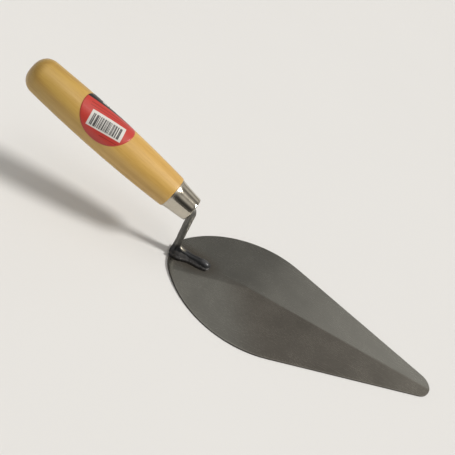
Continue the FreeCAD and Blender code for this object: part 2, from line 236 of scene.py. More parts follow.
# The blade has an outline of tangent arcs, and five facets that meet at the crown.
blade = {
    "length": bladeHigh.x - bladeLow.x,
    "halfWidth": bladeHigh.y,
    "heelRadius": 38.5 * mm,
    "shoulderRadius": 89.9 * mm,
    "toeRadius": 12.7 * mm,
    "rim": 1.2 * mm,
    "plate": 1.5 * mm,
    "rise": 4.3 * mm,
    "crownX": 75 * mm,
    "toeCornerX": 277 * mm,
    "shoulderCorner": (87.6 * mm, 64.1 * mm),
    "heelCorner": (-15.3 * mm, 27.4 * mm),
    "ridgeSoftness": 1.2 * mm,
    "heelCreaseSoftness": 0.7 * mm,
    "shoulderSoftness": 12 * mm,
    "rimStep": 1.0 * mm,
    "topRings": 40,
    "underRings": 20,
    "edgeInset": 1.2 * mm,
    "edgeDrops": [(0.5, 0.01), (0.2, 0.08), (0.05, 0.22), (0.0, 0.4)],  # inset and drop below the top, in mm
    "edgeLifts": [(0.0, 0.25), (0.08, 0.08), (0.25, 0.0)],  # inset and height over the ground, in mm
}


def bladeHalfOutline():  # (x, y) and outward normal, from the heel to the toe on the left side
    heel = blade["heelRadius"]
    shoulder = blade["shoulderRadius"]
    toe = blade["toeRadius"]
    drop = shoulder - blade["halfWidth"]
    heelTurn = math.asin(drop / (shoulder - heel))
    shoulderX = heel + (shoulder - heel) * math.cos(heelTurn)
    toeX = blade["length"] - toe
    apart = math.hypot(toeX - shoulderX, drop)
    sideAngle = math.asin((shoulder - toe) / apart) - math.atan2(drop, toeX - shoulderX)
    sideNormal = math.pi / 2 - sideAngle
    found = []

    def arc(centreX, centreY, radius, start, end):
        steps = max(2, round(abs(end - start) * radius / blade["rimStep"]))
        for i in range(steps):
            turn = start + (end - start) * i / steps
            normal = Vector((math.cos(turn), math.sin(turn)))
            found.append((Vector((centreX, centreY)) + normal * radius, normal))

    arc(heel, 0, heel, math.pi, math.pi - heelTurn)
    arc(shoulderX, -drop, shoulder, math.pi - heelTurn, sideNormal)
    normal = Vector((math.cos(sideNormal), math.sin(sideNormal)))
    start = Vector((shoulderX, -drop)) + normal * shoulder
    end = Vector((toeX, 0)) + normal * toe
    steps = round((end - start).length / blade["rimStep"])
    found.extend((start.lerp(end, i / steps), normal) for i in range(steps))
    arc(toeX, 0, toe, sideNormal, 0)
    return found


def softLeast(first, second, reach):  # the lesser of two heights, rounded where they cross
    share = max(reach - abs(first - second), 0) / reach
    return min(first, second) - share * share * reach / 4


def facet(cornerA, cornerB):  # slope of the plane through two rim corners and the crown
    a = Vector((*cornerA, blade["rim"]))
    b = Vector((*cornerB, blade["rim"]))
    crown = Vector((blade["crownX"], 0, blade["rim"] + blade["rise"]))
    normal = (a - crown).cross(b - crown)
    return Vector((-normal.x / normal.z, -normal.y / normal.z))


shoulderX, shoulderY = blade["shoulderCorner"]
hindX, hindY = blade["heelCorner"]
facetSlopes = {
    "frontLeft": facet((blade["toeCornerX"], 0), (shoulderX, shoulderY)),
    "frontRight": facet((blade["toeCornerX"], 0), (shoulderX, -shoulderY)),
    "sideLeft": facet((shoulderX, shoulderY), (hindX, hindY)),
    "sideRight": facet((shoulderX, -shoulderY), (hindX, -hindY)),
    "hind": facet((hindX, hindY), (hindX, -hindY)),
}


def facetReach(one, other, width):  # height band that rounds a crease over this width each side
    return (facetSlopes[one] - facetSlopes[other]).length * width


ridgeReach = facetReach("frontLeft", "frontRight", blade["ridgeSoftness"])
hindReach = facetReach("sideLeft", "hind", blade["heelCreaseSoftness"])
shoulderReach = facetReach("frontLeft", "sideLeft", blade["shoulderSoftness"])


def bladeTop(x, y):  # height of the upper face, x measured from the heel
    fromCrown = Vector((x - blade["crownX"], y))
    crownHeight = blade["rim"] + blade["rise"]
    height = {name: crownHeight + slope.dot(fromCrown) for name, slope in facetSlopes.items()}
    left = softLeast(height["frontLeft"], height["sideLeft"], shoulderReach)
    right = softLeast(height["frontRight"], height["sideRight"], shoulderReach)
    front = softLeast(left, right, ridgeReach)
    return softLeast(front, height["hind"], hindReach)


def bladeUnder(x, y):  # height of the lower face, which is hollow inside the rim
    return max(bladeTop(x, y) - blade["plate"], 0.0)


def makeBlade(material):
    half = bladeHalfOutline()
    tip = (Vector((blade["length"], 0)), Vector((1, 0)))
    mirrored = [(Vector((at.x, -at.y)), Vector((out.x, -out.y))) for at, out in half[1:]]
    outline = half + [tip] + mirrored[::-1]
    count = len(outline)
    crown = Vector((blade["crownX"], 0))
    points = [(heelX + crown.x, 0, bladeTop(crown.x, 0))]
    starts = []

    def ring(place):
        starts.append(len(points))
        points.extend(place)

    def inward(share, heightOf):
        for at, out in outline:
            edge = at - out * blade["edgeInset"]
            spot = crown.lerp(edge, share)
            yield (heelX + spot.x, spot.y, heightOf(spot.x, spot.y))

    def rim(inset, heightOf):
        for at, out in outline:
            spot = at - out * inset
            yield (heelX + spot.x, spot.y, heightOf(bladeTop(spot.x, spot.y)))

    for step in range(1, blade["topRings"] + 1):
        ring(inward(step / blade["topRings"], bladeTop))
    for inset, drop in blade["edgeDrops"]:
        ring(rim(inset * mm, lambda top: top - drop * mm))
    for inset, lift in blade["edgeLifts"]:
        ring(rim(inset * mm, lambda top: lift * mm))
    for step in range(blade["underRings"], 0, -1):
        ring(inward(step / blade["underRings"], bladeUnder))
    last = len(points)
    points.append((heelX + crown.x, 0, bladeUnder(crown.x, 0)))
    faces = [(0, starts[0] + (i + 1) % count, starts[0] + i) for i in range(count)]
    for first, second in zip(starts, starts[1:]):
        faces += ringFaces(first, second, count)
    faces += [(last, starts[-1] + i, starts[-1] + (i + 1) % count) for i in range(count)]
    piece = meshPiece("bladePlate", points, faces, material)
    faceOutwards(piece)
    put(piece, "blade")
    return piece


# The grip's axis is shared by the ferrule, the wood, the label and the tang.
grip = {
    "pitch": math.radians(17.5),
    "baseX": 0.97 * mm,
    "baseZ": 51.6 * mm,
    "ferruleLength": 21.35 * mm,
    "length": 142.7 * mm,
    "frontRadius": 14.0 * mm,
    "buttRadius": 14.55 * mm,
    "bowRadius": 1075 * mm,
    "buttRound": 11.5 * mm,
    "spigotFront": 10.0 * mm,
    "spigotRear": 12.25 * mm,
    "spigotStart": 1.2 * mm,
    "shoulderRound": 0.8 * mm,
    "boreDepth": 92 * mm,
    "boreTip": 1.85 * mm,
    "boreThroat": 3.95 * mm,
    "boreMouth": 4.1 * mm,
    "boreLead": 5 * mm,
    "buttSwell": 0.06 * mm,
    "middle": 90 * mm,
    "sideSteps": 60,
    "sides": 160,
}
gripFrame = Matrix.Translation((heelX + grip["baseX"], 0, grip["baseZ"])) @ Matrix.Rotation(
    grip["pitch"] - math.pi / 2, 4, "Y"
)


def gripRadius(height):  # radius of the bowed side at a height along the axis
    start = grip["ferruleLength"]
    share = (height - start) / grip["length"]
    chord = grip["frontRadius"] + (grip["buttRadius"] - grip["frontRadius"]) * share
    return chord + (height - start) * (start + grip["length"] - height) / (2 * grip["bowRadius"])


def makeHandle(material):
    start = grip["ferruleLength"]
    end = start + grip["length"]
    ease = grip["shoulderRound"]
    buttRound = grip["buttRound"]
    bore = grip["boreDepth"]
    mouth = grip["spigotStart"]
    profile = [(0, bore), (grip["boreTip"], bore), (grip["boreThroat"], mouth + grip["boreLead"])]
    profile += [(grip["boreMouth"], mouth), (grip["spigotFront"], mouth)]
    profile += [(grip["spigotRear"], start), (grip["frontRadius"] - ease, start)]
    profile += arcPoints((grip["frontRadius"] - ease, start + ease), ease, -90, 0, 6)[1:]
    sideEnd = end - buttRound
    steps = grip["sideSteps"]
    sideStart = start + ease
    for i in range(1, steps):
        height = sideStart + (sideEnd - sideStart) * i / steps
        profile.append((gripRadius(height), height))
    flat = gripRadius(sideEnd) - buttRound
    profile += arcPoints((flat, sideEnd), buttRound, 0, 90, 16)
    profile += [(flat * 0.5, end + 0.05 * mm), (0, end + grip["buttSwell"])]
    piece = lathe("gripWood", profile, grip["sides"], material, gripFrame)
    put(piece, "handle")
    return piece


ferrule = {
    "frontRadius": 10.8 * mm,
    "rearRadius": 13.05 * mm,
    "wall": 0.8 * mm,
    "mouth": 7.0 * mm,
    "round": 0.9 * mm,
    "flare": 0.3 * mm,
    "flareLength": 7.0 * mm,
    "hemStart": 0.35 * mm,
    "steps": 24,
}


def makeFerrule(material):
    front = ferrule["frontRadius"]
    rear = ferrule["rearRadius"]
    wall = ferrule["wall"]
    length = grip["ferruleLength"]
    frontRound = ferrule["round"]
    slope = (rear - front) / length
    rolled = (ferrule["mouth"] + wall * 0.5, wall * 0.5)
    profile = arcPoints(rolled, wall * 0.5, 180, 270, 5)
    profile += arcPoints((front - frontRound, frontRound), frontRound, -90, -4, 8)
    steps = ferrule["steps"]
    for i in range(1, steps + 1):
        height = frontRound + (length - ferrule["hemStart"] - frontRound) * i / steps
        flare = max(height - (length - ferrule["flareLength"]), 0) / ferrule["flareLength"]
        profile.append((front + slope * height + ferrule["flare"] * flare ** 2, height))
    lip = rear + ferrule["flare"]
    profile += [(lip - 0.12 * mm, length - 0.08 * mm), (lip - 0.3 * mm, length), (rear - wall, length)]
    profile += [(front - wall + slope * wall, wall), (ferrule["mouth"] + wall * 0.5, wall)]
    profile += arcPoints(rolled, wall * 0.5, 90, 180, 5)[:-1]
    sides = grip["sides"]
    verts = []
    for radius, height in profile:
        for i in range(sides):
            angle = math.tau * i / sides
            verts.append(gripFrame @ Vector((radius * math.cos(angle), radius * math.sin(angle), height)))
    faces = []
    total = len(profile)
    for row in range(total):
        faces += ringFaces(row * sides, ((row + 1) % total) * sides, sides)
    piece = meshPiece("ferruleSleeve", verts, faces, material)
    faceOutwards(piece)
    put(piece, "ferrule")
    return piece


# The label is a disc wrapped on the grip.
label = {
    "radius": 23.2 * mm,
    "distance": 96.6 * mm,
    "turn": math.radians(-9),
    "skin": 0.12 * mm,
    "rings": 24,
    "sides": 120,
}


def makeLabel(material):
    points = []
    places = []

    def spot(along, around, lift):
        height = label["distance"] + along
        radius = gripRadius(height) + lift
        angle = label["turn"] + around / gripRadius(label["distance"])
        points.append(gripFrame @ Vector((radius * math.cos(angle), radius * math.sin(angle), height)))
        places.append((along / label["radius"], around / label["radius"]))

    sides = label["sides"]
    lifts = [(label["skin"], range(1, label["rings"] + 1)), (0.0, range(label["rings"], 0, -1))]
    spot(0, 0, label["skin"])
    starts = []
    for lift, steps in lifts:
        for step in steps:
            starts.append(len(points))
            reach = label["radius"] * step / label["rings"]
            for i in range(sides):
                angle = math.tau * i / sides
                spot(reach * math.cos(angle), reach * math.sin(angle), lift)
    last = len(points)
    spot(0, 0, 0.0)
    faces = [(0, starts[0] + i, starts[0] + (i + 1) % sides) for i in range(sides)]
    for first, second in zip(starts, starts[1:]):
        faces += ringFaces(first, second, sides)
    faces += [(last, starts[-1] + (i + 1) % sides, starts[-1] + i) for i in range(sides)]
    piece = meshPiece("paperLabel", points, faces, material)
    chart = piece.data.uv_layers.new(name="labelPlace")
    for loop in piece.data.loops:
        along, around = places[loop.vertex_index]
        chart.data[loop.index].uv = (0.5 + 0.5 * along, 0.5 + 0.5 * around)
    piece.data.update()
    faceOutwards(piece, merge=False)
    put(piece, "label")
    return piece


# The shank's foot, neck and tang are one forged bar.
shank = {
    "neckX": 2.4 * mm,
    "topHalf": 3.55 * mm,
    "waistHalf": 3.15 * mm,
    "baseHalf": 4.0 * mm,
    "squareness": 3.2,
    "turn": math.radians(40),
    "flatness": 0.88,
    "bend": 5.0 * mm,
    "tangLength": 92 * mm,
    "tangTip": 1.8 * mm,
    "footSquareness": 1.8,
    "voxel": 0.42 * mm,
    "smoothing": 7,
    "dentSize": 7 * mm,
    "dentDepth": 0.22 * mm,
    "dentSeed": 3.0,
    "bury": 0.3 * mm,
    "neckSteps": 12,
    "bendSteps": 8,
    "tangSteps": 12,
    "sides": 32,
}
# The foot's crest, from the back of the neck to the nose, in mm: place from the heel, half width, height.
footSections = [
    (-1.6, 2.6, 4.0), (0.0, 4.4, 7.5), (3.0, 4.8, 10.0), (6.0, 4.7, 8.8), (7.6, 4.6, 7.5),
    (9.6, 4.5, 6.7), (12.4, 4.3, 6.1), (15.5, 4.0, 5.5), (19.5, 3.9, 5.2), (24.0, 4.3, 5.3),
    (28.0, 4.9, 5.6), (31.0, 4.8, 5.3), (33.4, 3.9, 4.4), (35.0, 2.7, 3.0), (35.9, 1.2, 1.4),
]


def hindHeight(x):  # height of the heel facet, x measured from the heel
    return blade["rim"] + blade["rise"] + facetSlopes["hind"].x * (x - blade["crownX"])


def roundedPower(value, power):
    return math.copysign(abs(value) ** power, value)


def sectionsPiece(name, sections, material):  # skin through rings of the same length, closed at both ends
    count = len(sections[0])
    points = [point for ring in sections for point in ring]
    faces = []
    for row in range(len(sections) - 1):
        faces += ringFaces(row * count, (row + 1) * count, count)
    last = (len(sections) - 1) * count
    faces.append(tuple(range(count))[::-1])
    faces.append(tuple(range(last, last + count)))
    piece = meshPiece(name, points, faces, material)
    faceOutwards(piece)
    return piece


def tubeSections(path, squareness):  # path: (centre, half width); the path stays in the XZ plane
    last = len(path) - 1
    rings = []
    for index, (centre, half) in enumerate(path):
        ahead = path[min(index + 1, last)][0] - path[max(index - 1, 0)][0]
        side = Vector((0, 1, 0))
        up = ahead.normalized().cross(side)
        ring = []
        for i in range(shank["sides"]):
            angle = math.tau * i / shank["sides"]
            across = half * roundedPower(math.cos(angle), 2 / squareness)
            over = half * roundedPower(math.sin(angle), 2 / squareness)
            corner = Matrix.Rotation(shank["turn"], 2) @ Vector((across, over))
            ring.append(centre + side * corner.x + up * corner.y * shank["flatness"])
        rings.append(ring)
    return rings


def ridgeSections(sections, squareness):  # upright ridges on the heel facet, flat underneath
    bury = shank["bury"]
    rings = []
    for x, half, height in sections:
        x, half, height = x * mm, half * mm, height * mm
        base = hindHeight(x) - bury
        ring = []
        for i in range(shank["sides"]):
            angle = math.pi * i / (shank["sides"] - 1)
            across = half * roundedPower(math.cos(angle), 2 / squareness)
            over = (height + bury) * math.sin(angle) ** (2 / squareness)
            ring.append(Vector((heelX + x, across, base + over)))
        rings.append(ring)
    return rings


def joinPieces(pieces, name):
    work = bmesh.new()
    for piece in pieces:
        work.from_mesh(piece.data)
    mesh = bpy.data.meshes.new(name)
    work.to_mesh(mesh)
    work.free()
    material = pieces[0].data.materials[0]
    for piece in pieces:
        bpy.data.objects.remove(piece)
    joined = bpy.data.objects.new(name, mesh)
    bpy.context.scene.collection.objects.link(joined)
    mesh.materials.append(material)
    return joined


def meltTogether(piece, voxel, smoothing):  # one closed skin round overlapping solids, with softened joins
    remesh = piece.modifiers.new("melt", "REMESH")
    remesh.mode = "VOXEL"
    remesh.voxel_size = voxel
    remesh.use_smooth_shade = True
    soften = piece.modifiers.new("soften", "SMOOTH")
    soften.factor = 0.5
    soften.iterations = smoothing
    bakeModifiers(piece)


def roughen(piece, size, depth, seed):  # slow dents, as a hammer or a hot weld pool leaves
    offset = Vector((seed, seed * 0.7, seed * 1.3))
    vertices = piece.data.vertices
    dents = [spot.normal * (noise.noise(spot.co / size + offset) * depth) for spot in vertices]
    for spot, dent in zip(vertices, dents):
        spot.co += dent


def makeShank(material):
    neckX = heelX + shank["neckX"]
    pitch = grip["pitch"]
    cornerZ = grip["baseZ"] - (shank["neckX"] - grip["baseX"]) * math.tan(pitch)
    setback = shank["bend"] * math.tan((math.pi / 2 - pitch) / 2)
    axis = Vector((-math.cos(pitch), 0, math.sin(pitch)))
    base = Vector((neckX, 0, hindHeight(shank["neckX"]) + 0.8 * mm))
    neckTop = Vector((neckX, 0, cornerZ - setback))
    path = []
    for step in range(shank["neckSteps"] + 1):
        share = step / shank["neckSteps"]
        swell = max(1 - share * 2.4, 0) ** 2
        half = shank["waistHalf"] + (shank["baseHalf"] - shank["waistHalf"]) * swell
        half += (shank["topHalf"] - shank["waistHalf"]) * share ** 2
        path.append((base.lerp(neckTop, share), half))
    bendCentre = Vector((neckX - shank["bend"], 0, cornerZ - setback))
    for step in range(1, shank["bendSteps"] + 1):
        turn = (math.pi / 2 - pitch) * step / shank["bendSteps"]
        spoke = Vector((math.cos(turn), 0, math.sin(turn)))
        path.append((bendCentre + spoke * shank["bend"], shank["topHalf"]))
    tangStart = Vector((heelX + grip["baseX"], 0, grip["baseZ"]))
    used = (path[-1][0] - tangStart).dot(axis)
    for step in range(1, shank["tangSteps"] + 1):
        reach = used + (shank["tangLength"] - used) * step / shank["tangSteps"]
        half = shank["topHalf"] + (shank["tangTip"] - shank["topHalf"]) * reach / shank["tangLength"]
        path.append((tangStart + axis * reach, half))
    barRings = tubeSections(path, shank["squareness"])
    bar = sectionsPiece("barPart", barRings, material)
    footRings = ridgeSections(footSections, shank["footSquareness"])
    foot = sectionsPiece("footPart", footRings, material)
    piece = joinPieces([bar, foot], "shankBar")
    meltTogether(piece, shank["voxel"], shank["smoothing"])
    roughen(piece, shank["dentSize"], shank["dentDepth"], shank["dentSeed"])
    put(piece, "shank")
    return piece


# The weld is a black skirt round the foot, with ripples along its edge.
weld = {
    "rippleStep": 1.3 * mm,
    "rippleRadius": 1.5 * mm,
    "rippleInset": 0.75,
    "rippleLift": 0.12,
    "squareness": 1.5,
    "voxel": 0.36 * mm,
    "smoothing": 8,
    "dentSize": 3.5 * mm,
    "dentDepth": 0.3 * mm,
    "dentSeed": 8.0,
    "sunk": 0.1 * mm,
    "seed": 4,
}
# The weld's outline on each side, in mm: place from the heel, half width, height on the blade.
weldSections = [
    (-0.4, 5.6, 2.0), (1.0, 7.2, 4.4), (4.0, 8.0, 6.2), (8.0, 8.0, 6.2), (11.0, 7.2, 5.6),
    (15.0, 6.1, 4.7), (19.0, 5.5, 4.3), (24.0, 5.7, 4.5), (29.0, 5.9, 4.4), (32.5, 5.2, 3.2),
    (34.8, 3.9, 2.0), (36.4, 1.8, 0.9),
]


def weldTree(material):  # one ripple at each step of a path, sized with a little chance
    tree = bpy.data.node_groups.new("weldRipples", "GeometryNodeTree")
    face = tree.interface
    face.new_socket("Geometry", in_out="INPUT", socket_type="NodeSocketGeometry")
    for name in ("Ripple Step", "Ripple Radius"):
        face.new_socket(name, in_out="INPUT", socket_type="NodeSocketFloat")
    face.new_socket("Seed", in_out="INPUT", socket_type="NodeSocketInt")
    face.new_socket("Geometry", in_out="OUTPUT", socket_type="NodeSocketGeometry")

    def node(kind, settings=None, inputs=None):
        made = tree.nodes.new(kind)
        for key, value in (settings or {}).items():
            setattr(made, key, value)
        for key, value in (inputs or {}).items():
            if isinstance(value, bpy.types.NodeSocket):
                tree.links.new(value, made.inputs[key])
            else:
                made.inputs[key].default_value = value
        return made.outputs

    given = node("NodeGroupInput")
    curve = node("GeometryNodeMeshToCurve", inputs={"Mesh": given["Geometry"]})
    steps = node("GeometryNodeResampleCurve", {"mode": "LENGTH"}, {
        "Curve": curve[0], "Length": given["Ripple Step"],
    })
    ball = node("GeometryNodeMeshIcoSphere", inputs={"Radius": given["Ripple Radius"], "Subdivisions": 3})
    chance = node("FunctionNodeRandomValue", {"data_type": "FLOAT"}, {2: 0.8, 3: 1.15, "Seed": given["Seed"]})
    ripples = node("GeometryNodeInstanceOnPoints", inputs={
        "Points": steps[0], "Instance": ball[0], "Scale": chance[1],
    })
    solid = node("GeometryNodeRealizeInstances", inputs={0: ripples[0]})
    coated = node("GeometryNodeSetMaterial", inputs={"Geometry": solid[0], "Material": material})
    node("NodeGroupOutput", inputs={0: coated[0]})
    return tree


def makeRipples(material):
    inset = weld["rippleRadius"] * weld["rippleInset"]
    side = [(x * mm, half * mm - inset, height * mm) for x, half, height in weldSections[1:-1]]
    path = side + [(x, -half, height) for x, half, height in reversed(side)]
    points = [(heelX + x, y, hindHeight(x) + height * weld["rippleLift"]) for x, y, height in path]
    mesh = bpy.data.meshes.new("rippleLine")
    mesh.from_pydata(points, [(i, i + 1) for i in range(len(points) - 1)], [])
    piece = bpy.data.objects.new("rippleLine", mesh)
    bpy.context.scene.collection.objects.link(piece)
    ripples = piece.modifiers.new("ripples", "NODES")
    ripples.node_group = weldTree(material)
    sockets = ripples.node_group.interface.items_tree
    names = {item.name: item.identifier for item in sockets if item.in_out == "INPUT"}
    ripples[names["Ripple Step"]] = weld["rippleStep"]
    ripples[names["Ripple Radius"]] = weld["rippleRadius"]
    ripples[names["Seed"]] = weld["seed"]
    bakeModifiers(piece)
    return piece


def makeWeld(material):
    skirt = sectionsPiece("skirtPart", ridgeSections(weldSections, weld["squareness"]), material)
    piece = joinPieces([skirt, makeRipples(material)], "weldBead")
    meltTogether(piece, weld["voxel"], weld["smoothing"])
    roughen(piece, weld["dentSize"], weld["dentDepth"], weld["dentSeed"])
    for vertex in piece.data.vertices:
        vertex.co.z = max(vertex.co.z, hindHeight(vertex.co.x - heelX) - weld["sunk"])
    put(piece, "weld")
    return piece


def bladeSteel():
    paint = newPaint("satinBladeSteel")
    where = paint.place()
    lines = paint.node("ShaderNodeMapping", inputs={"Vector": where, "Rotation": (0, 0, 0.3)})
    grind = paint.noise(paint.stretched(lines, (420, 2600, 500)), 1.0, 3.0, 0.6)
    scratch = paint.noise(paint.stretched(where, (45, 3200, 300)), 1.0, 2.0, 0.5, 0.6).fade(0.65, 0.72)
    blotch = paint.noise(where, 30.0, 4.0, 0.6)
    x, y = paint.parts(where)[:2]
    fromFoot = (((x - (heelX + 16 * mm)) / 1.9).power(2) + (y * y)).power(0.5)
    nearFootMask = 1 - fromFoot.fade(6 * mm, 20 * mm)  # darker and browner round the foot
    base = paint.ramp(blotch, (0.32, (0.315, 0.311, 0.283)), (0.7, (0.38, 0.375, 0.341)))
    crownX = heelX + blade["crownX"]
    # painted reflection: the near front facet is painted browner, and darker short of the toe, the tone the
    # dim side of the room gives it in reflection
    front = (x + y * 0.6).fade(crownX - 38 * mm, crownX + 6 * mm)
    near = 1 - y.fade(-0.6 * mm, 0.6 * mm)
    toeward = x.fade(crownX + 50 * mm, heelX + 260 * mm)
    steelWithPaintedReflection = paint.mix(front * near * (1 - toeward) * 0.35, base, (0.195, 0.178, 0.16))
    steelWithPaintedReflection = paint.mix(front * near, steelWithPaintedReflection, (1.0, 0.955, 0.925), "MULTIPLY")
    grain = paint.ramp(grind, (0.3, (0.84, 0.84, 0.84)), (0.75, (1.02, 1.02, 1.02)))
    steelWithPaintedReflection = paint.mix(1.0, steelWithPaintedReflection, grain, "MULTIPLY")
    darkenedNearFoot = paint.mix(nearFootMask * 0.6, steelWithPaintedReflection, (0.15, 0.115, 0.085))
    upright = paint.parts(paint.node("ShaderNodeNewGeometry", output="Normal"))[2].size()
    edge = 1 - upright.fade(0.95, 0.99)  # the thin upright rim
    # painted shade: the thin upright rim is painted near black, darker than the top, so it stays dark and
    # takes no highlight
    colour = paint.mix(edge * 0.8, darkenedNearFoot, (0.04, 0.037, 0.034))
    rough = 0.18 + grind * 0.1 + blotch * 0.06 + scratch * 0.08 + edge * 0.4
    bumped = paint.bump(grind + scratch * 0.4, 0.00002, 0.4)
    return paint.finish(BaseColor=colour, Metallic=1.0, Roughness=rough, Normal=bumped)


def forgedSteel():
    paint = newPaint("forgedShankSteel")
    where = paint.place()
    x, y, z = paint.parts(where)
    scale = paint.noise(where, 420.0, 4.0, 0.6)
    bare = paint.ramp(scale, (0.3, (0.10, 0.098, 0.091)), (0.75, (0.20, 0.196, 0.182)))
    low = 1 - z.fade(9 * mm, 16 * mm)
    colour = paint.mix(low, bare, (0.038, 0.039, 0.042))
    # a lighter beige spot where the neck meets the foot: partly bare metal, partly a painted highlight of the
    # lit fillet
    bareAndLitSpot = (((x - (heelX + 8.5 * mm)) / 1.5).power(2) + (y - 0.4 * mm).power(2)).power(0.5)
    colour = paint.mix((1 - bareAndLitSpot.fade(1.0 * mm, 3.2 * mm)) * 0.6, colour, (0.34, 0.31, 0.25))
    # painted highlight: the top of the foot's nose is painted lighter grey
    noseHighlight = (((x - (heelX + 30.5 * mm)) / 2.4).power(2) + (y - 0.5 * mm).power(2)).power(0.5)
    colour = paint.mix((1 - noseHighlight.fade(0.6 * mm, 2.6 * mm)) * 0.3, colour, (0.30, 0.30, 0.31))
    rough = 0.42 - low * 0.12 + scale * 0.14
    bumped = paint.bump(scale, 0.0001, 0.4)
    return paint.finish(BaseColor=colour, Metallic=0.85, Roughness=rough, Normal=bumped)


def weldBlack():
    paint = newPaint("blackWeldMetal")
    where = paint.place()
    scale = paint.noise(where, 420.0, 3.0, 0.55)
    base = paint.ramp(scale, (0.3, (0.012, 0.012, 0.014)), (0.8, (0.035, 0.032, 0.03)))
    return paint.finish(
        BaseColor=base, Metallic=0.2, Roughness=0.36 + scale * 0.16, Normal=paint.bump(scale, 0.0001, 0.3)
    )


def alongGrip(paint):  # place on the grip: X runs from the butt to the ferrule, 0 near the wood's middle
    middle = gripFrame @ Vector((0, 0, grip["middle"]))
    inputs = {0: paint.place(), 1: tuple(middle)}
    moved = paint.node("ShaderNodeVectorMath", {"operation": "SUBTRACT"}, inputs)
    return paint.node("ShaderNodeMapping", inputs={"Vector": moved, "Rotation": (0, -grip["pitch"], 0)})


def nickelPlate():
    paint = newPaint("brightNickelPlate")
    where = paint.place()
    marks = paint.noise(where, 300.0, 4.0, 0.6)
    middle = grip["middle"]
    x = paint.parts(alongGrip(paint))[0]
    rolled = 1 - x.fade(middle - grip["ferruleLength"], middle - 16 * mm)  # the duller hem beside the wood
    base = paint.ramp(marks, (0.3, (0.50, 0.46, 0.385)), (0.7, (0.57, 0.525, 0.445)))
    return paint.finish(BaseColor=base, Metallic=1.0, Roughness=0.08 + marks * 0.06 + rolled * 0.2)


def varnishedWood():
    paint = newPaint("varnishedPaleWood")
    along = alongGrip(paint)
    drift = paint.noise(paint.stretched(along, (14, 60, 60)), 1.0, 2.0, 0.5) - 0.5
    x, y, z = paint.parts(along)
    fromPith = ((y - 21 * mm).power(2) + (z + 34 * mm).power(2)).power(0.5) + x * 0.035 + drift * 0.006
    rings = (fromPith * (math.tau / 0.0052)).sine() * 0.5 + 0.5
    fibre = paint.noise(paint.stretched(along, (40, 800, 800)), 1.0, 3.0, 0.6)
    flecks = paint.noise(paint.stretched(along, (170, 1700, 1700)), 1.0, 1.0, 0.5).fade(0.64, 0.72)
    cloud = paint.noise(paint.stretched(along, (9, 26, 26)), 1.0, 2.0, 0.5)
    tone = rings * 0.12 + fibre * 0.4 + cloud * 0.5 - flecks * 0.08
    base = paint.ramp(
        tone, (0.3, (0.46, 0.255, 0.056)), (0.5, (0.56, 0.335, 0.078)), (0.72, (0.64, 0.405, 0.11))
    )
    # painted shade: the wood is darker towards the butt, where the light falls off along the handle
    base = paint.mix(1 - x.fade(-70 * mm, 20 * mm), base, (0.80, 0.84, 0.80), "MULTIPLY")
    bumped = paint.bump(fibre - flecks * 0.5, 0.00005, 0.3)
    return paint.finish(
        BaseColor=base, Roughness=0.45 + fibre * 0.08, Normal=bumped, CoatWeight=0.4, CoatRoughness=0.22
    )


# What is printed on the label: bands along and across it, from its centre.
labelArt = {
    "edge": 0.12 * mm,
    "tilt": math.radians(12.5),
    "pale": (0.62, 0.61, 0.58),
    "capLine": 7.4 * mm,
    "panelAlong": (-15.6 * mm, 13.6 * mm),
    "panelAcross": (-14.6 * mm, -1.8 * mm),
    "barsAlong": (-13.6 * mm, 11.6 * mm),
    "barsAcross": (-13.4 * mm, -4.0 * mm),
    "upperLine": (3.3 * mm, 3.8 * mm),
    "middleLine": (0.6 * mm, 1.0 * mm),
    "linesAlong": (-17 * mm, 17 * mm),
    "lowerLine": (-17.5 * mm, -17.1 * mm),
    "lowerLineAlong": (-14 * mm, 1 * mm),
    "mortar": 0.35 * mm,
    "brickWidth": 6.0 * mm,
    "brickHeight": 2.6 * mm,
    "markAlong": (-9.0 * mm, 9.0 * mm),
    "markAcross": (10.4 * mm, 18.2 * mm),
}


